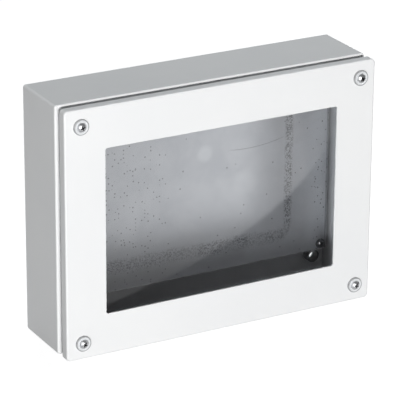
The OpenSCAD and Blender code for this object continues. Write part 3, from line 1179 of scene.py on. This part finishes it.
@dataclass
class LidScrews:
    """Captive lid screws with their dished washers and keeper rings."""

    finishes: Finishes
    head_r: float = 0.00415
    head_h: float = 0.0031
    head_edge: float = 0.0009
    head_seat: float = 0.0015
    recess: tuple[float, float, float] = (0.0048, 0.0012, 0.002)
    neck_r: float = 0.00195
    neck_len: float = 0.018
    thread: Thread = Thread(0.0025, 0.00205, 0.0008)
    turns: tuple[float, ...] = (20.0, 35.0, 60.0, 75.0)
    washer_r: float = 0.007
    washer_t: float = 0.002
    washer_rim: float = 0.0008
    washer_bore: float = 0.002
    washer_soft: float = 0.00025
    washer_sides: int = 72
    rim_steps: Profile = ((0.0, 1.6), (0.4, 0.6), (1.4, 0.0))
    ridge_steps: Profile = ((0.6, 0.0), (-0.4, 0.4))
    dish_lift: float = 0.2

    def washer(self) -> Piece:
        """Models a dished washer with a rounded rim.

        Returns:
            The washer, whose rim and side take the second finish, a darker nylon as painted shade.
        """
        soft, outer, top = self.washer_soft, self.washer_r, self.washer_t
        ridge = outer - self.washer_rim
        rim = [(outer - inward * soft, top - down * soft) for inward, down in self.rim_steps]
        lip = [(ridge + outward * soft, top - down * soft) for outward, down in self.ridge_steps]
        section = [
            (self.washer_bore, 0.0), (outer - soft, 0.0), (outer, soft), *rim, *lip,
            (self.head_r + soft, self.head_seat + self.dish_lift * soft),
            (self.head_r - soft, self.head_seat), (self.washer_bore, self.head_seat)]
        washer = Bench.turned("washer_pattern", section, sides=self.washer_sides, hollow=True)
        for face in washer.data.polygons:
            face.material_index = int(math.hypot(face.center.x, face.center.y) > ridge)
        return washer

    def build(self) -> None:
        """Models the screws and washers and dresses the keeper rings."""
        f = self.finishes
        low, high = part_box("lid_screw_tl")
        tip = low[1] + self.head_h - high[1]
        screw = DomedScrew(self.head_r, self.head_h, self.head_edge, self.recess, self.neck_r,
                           -self.neck_len, tip, self.thread).model()
        washer = self.washer()
        for corner, turn in zip(Corner, self.turns):
            tag = corner.tag
            low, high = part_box(f"lid_screw_{tag}")
            middle = Vector(((low[0] + high[0]) / 2, low[1] + self.head_h, (low[2] + high[2]) / 2))
            copy = Bench.copy(screw, f"captive_screw_{tag}", Facing.FRONT, middle, turn)
            # The cross recess takes the near-black zinc as painted shade
            hand_in(copy, f"lid_screw_{tag}", f"screw_{tag}", "zinc_fastener", f.bright, f.recess)
            face = middle + Vector((0.0, self.head_seat, 0.0))
            copy = Bench.copy(washer, f"dished_washer_{tag}", Facing.FRONT, face)
            # The washers' rims and sides take the darker nylon as painted shade
            hand_in(copy, f"lid_washer_{tag}", f"washer_{tag}", "grey_nylon", f.nylon, f.rim)
            dress(f"screw_keeper_{tag}", f.nylon)
        Bench.discard(screw)
        Bench.discard(washer)


@dataclass(frozen=True)
class Lamp:
    """Soft rectangular lamp that the camera doesn't see."""

    name: str
    place: Place
    size: Span
    watts: float
    aim: Place = (0.0, 0.0, 0.11)
    tone: Colour = WHITE
    glints: bool = True

    def build(self) -> None:
        """Sets the lamp up, facing its aim."""
        data = bpy.data.lights.new(self.name, "AREA")
        data.shape = "RECTANGLE"
        data.size, data.size_y = self.size
        data.energy = self.watts
        data.color = self.tone
        lamp = bpy.data.objects.new(self.name, data)
        place = Vector(self.place)
        turn = (Vector(self.aim) - place).to_track_quat("-Z", "Y").to_matrix().to_4x4()
        lamp.matrix_world = Matrix.Translation(place) @ turn
        lamp.visible_camera = False
        lamp.visible_glossy = self.glints
        bpy.context.scene.collection.objects.link(lamp)


@dataclass
class Studio:
    """Pale floor, soft lamps and the camera at the photograph's viewing angle."""

    yaw: float = 28.81
    pitch: float = 21.48
    roll: float = 0.38
    distance: float = 2.25
    focal_px: float = 2641.0
    target: Place = (-0.0227, -0.0377, 0.125)
    sensor: float = 36.0
    clip_end: float = 20.0
    lamps: tuple[Lamp, ...] = (
        Lamp("key", (-1.74, -4.61, 1.04), (1.0, 0.16), 226.0),
        Lamp("fill", (-1.59, -1.9, 0.10), (0.6, 0.2), 9.8, tone=COOL),
        Lamp("top", (0.25, 0.3, 1.7), (0.8, 0.3), 10.3, aim=(0.0, 0.0, 0.1), tone=COOL, glints=False),
        Lamp("back", (1.9, 2.6, 0.3), (1.2, 0.4), 46.0, tone=COOL, glints=False))
    floor_size: float = 12.0
    floor_pale: Colour = (0.46, 0.46, 0.46)
    floor_shade: Colour = (0.44, 0.44, 0.44)
    floor_grains: float = 40.0
    floor_rough: float = 0.9
    ambient: float = 0.04
    glow: float = 0.85
    gloss_glow: float = 0.35
    sky_gloss: float = 0.22
    mirror_size: float = 5.0
    mirror_place: Place = (0.6, -2.6, 0.001)
    disc_middle: Span = (-0.356, -0.970)
    disc_r: float = 0.8966
    disc_near: float = -0.15
    disc_far: float = -0.32
    disc_end: float = -0.85
    disc_fade: float = 0.3
    side_slope: float = 0.527
    side_start: float = 0.085
    side_end: float = 0.10
    side_light: float = 0.5
    near_light: float = 0.4
    far_light: float = 1.06
    dark_light: float = 0.03
    card_place: Place = (-2.1, -1.6, 1.2)
    card_size: Span = (3.6, 2.6)
    card_light: float = 1.0
    card_least: float = 0.9
    card_clouds: float = 2.0

    def camera(self) -> None:
        """Places the camera."""
        yaw, pitch, roll = (math.radians(a) for a in (self.yaw, self.pitch, self.roll))
        look = Vector((math.sin(yaw) * math.cos(pitch), math.cos(yaw) * math.cos(pitch), -math.sin(pitch)))
        data = bpy.data.cameras.new("portrait")
        data.sensor_fit = "HORIZONTAL"
        data.sensor_width = self.sensor
        data.lens = self.focal_px / PICTURE_PX * data.sensor_width
        data.clip_end = self.clip_end
        cam = bpy.data.objects.new("portrait", data)
        turn = look.to_track_quat("-Z", "Y").to_matrix().to_4x4()
        cam.matrix_world = Matrix.Translation(Vector(self.target) - look * self.distance) @ turn
        cam.matrix_world = cam.matrix_world @ Matrix.Rotation(roll, 4, "Z")
        bpy.context.scene.collection.objects.link(cam)
        bpy.context.scene.camera = cam

    def world(self) -> None:
        """White surroundings, at full strength only for what is seen in them."""
        g = Graph("surroundings", Owner.WORLD)
        path = g.add("ShaderNodeLightPath")
        shares = (("Is Glossy Ray", self.sky_gloss), ("Is Transmission Ray", 1.0), ("Is Camera Ray", 1.0))
        strength: object = self.ambient
        for ray, share in shares:
            strength = g.sum("MAXIMUM", g.sum("MULTIPLY", path.outputs[ray], share), strength)
        light = g.add("ShaderNodeBackground")
        g.feed(light.inputs["Strength"], strength)
        bpy.context.scene.world = g.show(light.outputs[0])

    def floor(self) -> None:
        """Pale floor that looks white where it is seen and keeps a soft shadow."""
        bpy.ops.mesh.primitive_plane_add(size=self.floor_size, location=(0.0, 0.0, 0.0))
        plane = bpy.context.object
        plane.name = "floor"
        g = Graph("floor")
        grain = g.noise(g.place(), self.floor_grains)
        colour = g.blend(grain, self.floor_pale, self.floor_shade)
        paint = g.principled(Base_Color=colour, Roughness=self.floor_rough, Specular_IOR_Level=0.0)
        path = g.add("ShaderNodeLightPath")
        few = g.sum("LESS_THAN", path.outputs["Ray Depth"], STRAIGHT_DEPTH)
        straight = g.sum("MULTIPLY", path.outputs["Is Transmission Ray"], few)
        seen = g.sum("MAXIMUM", path.outputs["Is Camera Ray"], straight)
        light = g.add("ShaderNodeEmission")
        mirrored = g.sum("MULTIPLY", path.outputs["Is Glossy Ray"], self.gloss_glow)
        g.feed(light.inputs["Strength"], g.sum("MAXIMUM", g.sum("MULTIPLY", seen, self.glow), mirrored))
        both = g.add("ShaderNodeAddShader")
        g.feed(both.inputs[0], paint.outputs[0])
        g.feed(both.inputs[1], light.outputs[0])
        plane.data.materials.append(g.show(both.outputs[0]))

    def show_in_mirrors(self, card: Piece, g: Graph, light: Socket) -> None:
        """Lets a card show only in what faces the studio, the pane's two faces included.

        Args:
            card: the card.
            g: graph of the card's material.
            light: shader output of the card's light.
        """
        path = g.add("ShaderNodeLightPath")
        outside = g.sum("LESS_THAN", path.outputs["Transmission Depth"], OUTSIDE_DEPTH)
        outer = g.sum("MULTIPLY", path.outputs["Is Glossy Ray"], outside)
        turned = g.sum("GREATER_THAN", path.outputs["Ray Depth"], STRAIGHT_DEPTH)
        inner = g.sum("MULTIPLY", path.outputs["Is Transmission Ray"], turned)
        clear = g.add("ShaderNodeBsdfTransparent").outputs[0]
        mix = g.mix(g.sum("MAXIMUM", outer, inner), clear, light)
        card.data.materials.append(g.show(mix))
        card.visible_camera = False
        card.visible_diffuse = False
        card.visible_shadow = False

    def soft_card(self) -> None:
        """Pale card at the left of the camera that the screw heads mirror."""
        bpy.ops.mesh.primitive_plane_add(size=1.0, location=(0.0, 0.0, 0.0))
        card = bpy.context.object
        card.name = "soft_card"
        turn = (-Vector(self.card_place)).to_track_quat("Z", "Y").to_matrix().to_4x4()
        grow = Matrix.Diagonal((*self.card_size, 1.0, 1.0))
        card.data.transform(Matrix.Translation(Vector(self.card_place)) @ turn @ grow)
        g = Graph("soft_card")
        light = g.add("ShaderNodeEmission")
        cloud = g.noise(g.place(), self.card_clouds)
        heat = g.span(cloud, *NOISE_SPAN, self.card_light * self.card_least, self.card_light)
        g.feed(light.inputs["Strength"], heat)
        self.show_in_mirrors(card, g, light.outputs[0])

    def mirror_card(self) -> None:
        """Round bright card on a dark sheet in front of the box, which only reflections see."""
        bpy.ops.mesh.primitive_plane_add(size=self.mirror_size, location=self.mirror_place)
        card = bpy.context.object
        card.name = "mirror_card"
        bpy.ops.object.transform_apply(location=True, rotation=True, scale=True)
        g = Graph("mirror_card")
        x, y, _ = g.axes()
        away = g.far(g.sum("SUBTRACT", x, self.disc_middle[0]), g.sum("SUBTRACT", y, self.disc_middle[1]))
        inside = g.sum("LESS_THAN", away, self.disc_r)
        heat = g.span(y, self.disc_far, self.disc_near, self.far_light, self.near_light)
        heat = g.sum("MULTIPLY", heat, g.span(y, self.disc_end, self.disc_end + self.disc_fade))
        across = g.sum("ADD", x, g.sum("MULTIPLY", y, self.side_slope))
        side = g.span(across, self.side_start, self.side_end, 1.0, self.side_light)
        heat = g.sum("MULTIPLY", heat, side)
        light = g.add("ShaderNodeEmission")
        g.feed(light.inputs["Strength"], g.sum("MAXIMUM", g.sum("MULTIPLY", inside, heat), self.dark_light))
        self.show_in_mirrors(card, g, light.outputs[0])

    def build(self) -> None:
        """Builds the studio."""
        self.camera()
        self.world()
        self.floor()
        self.mirror_card()
        self.soft_card()
        for lamp in self.lamps:
            lamp.build()


def main() -> None:
    """Builds the box's sub-assemblies and the studio in order."""
    logging.basicConfig(level=logging.INFO, format="%(name)s: %(message)s")
    bpy.context.scene.view_settings.view_transform = "Standard"
    finishes = Finishes.make()
    Case(finishes).build()
    Lid(finishes).build()
    LidScrews(finishes).build()
    Studio().build()


if __name__ == "__main__":
    main()
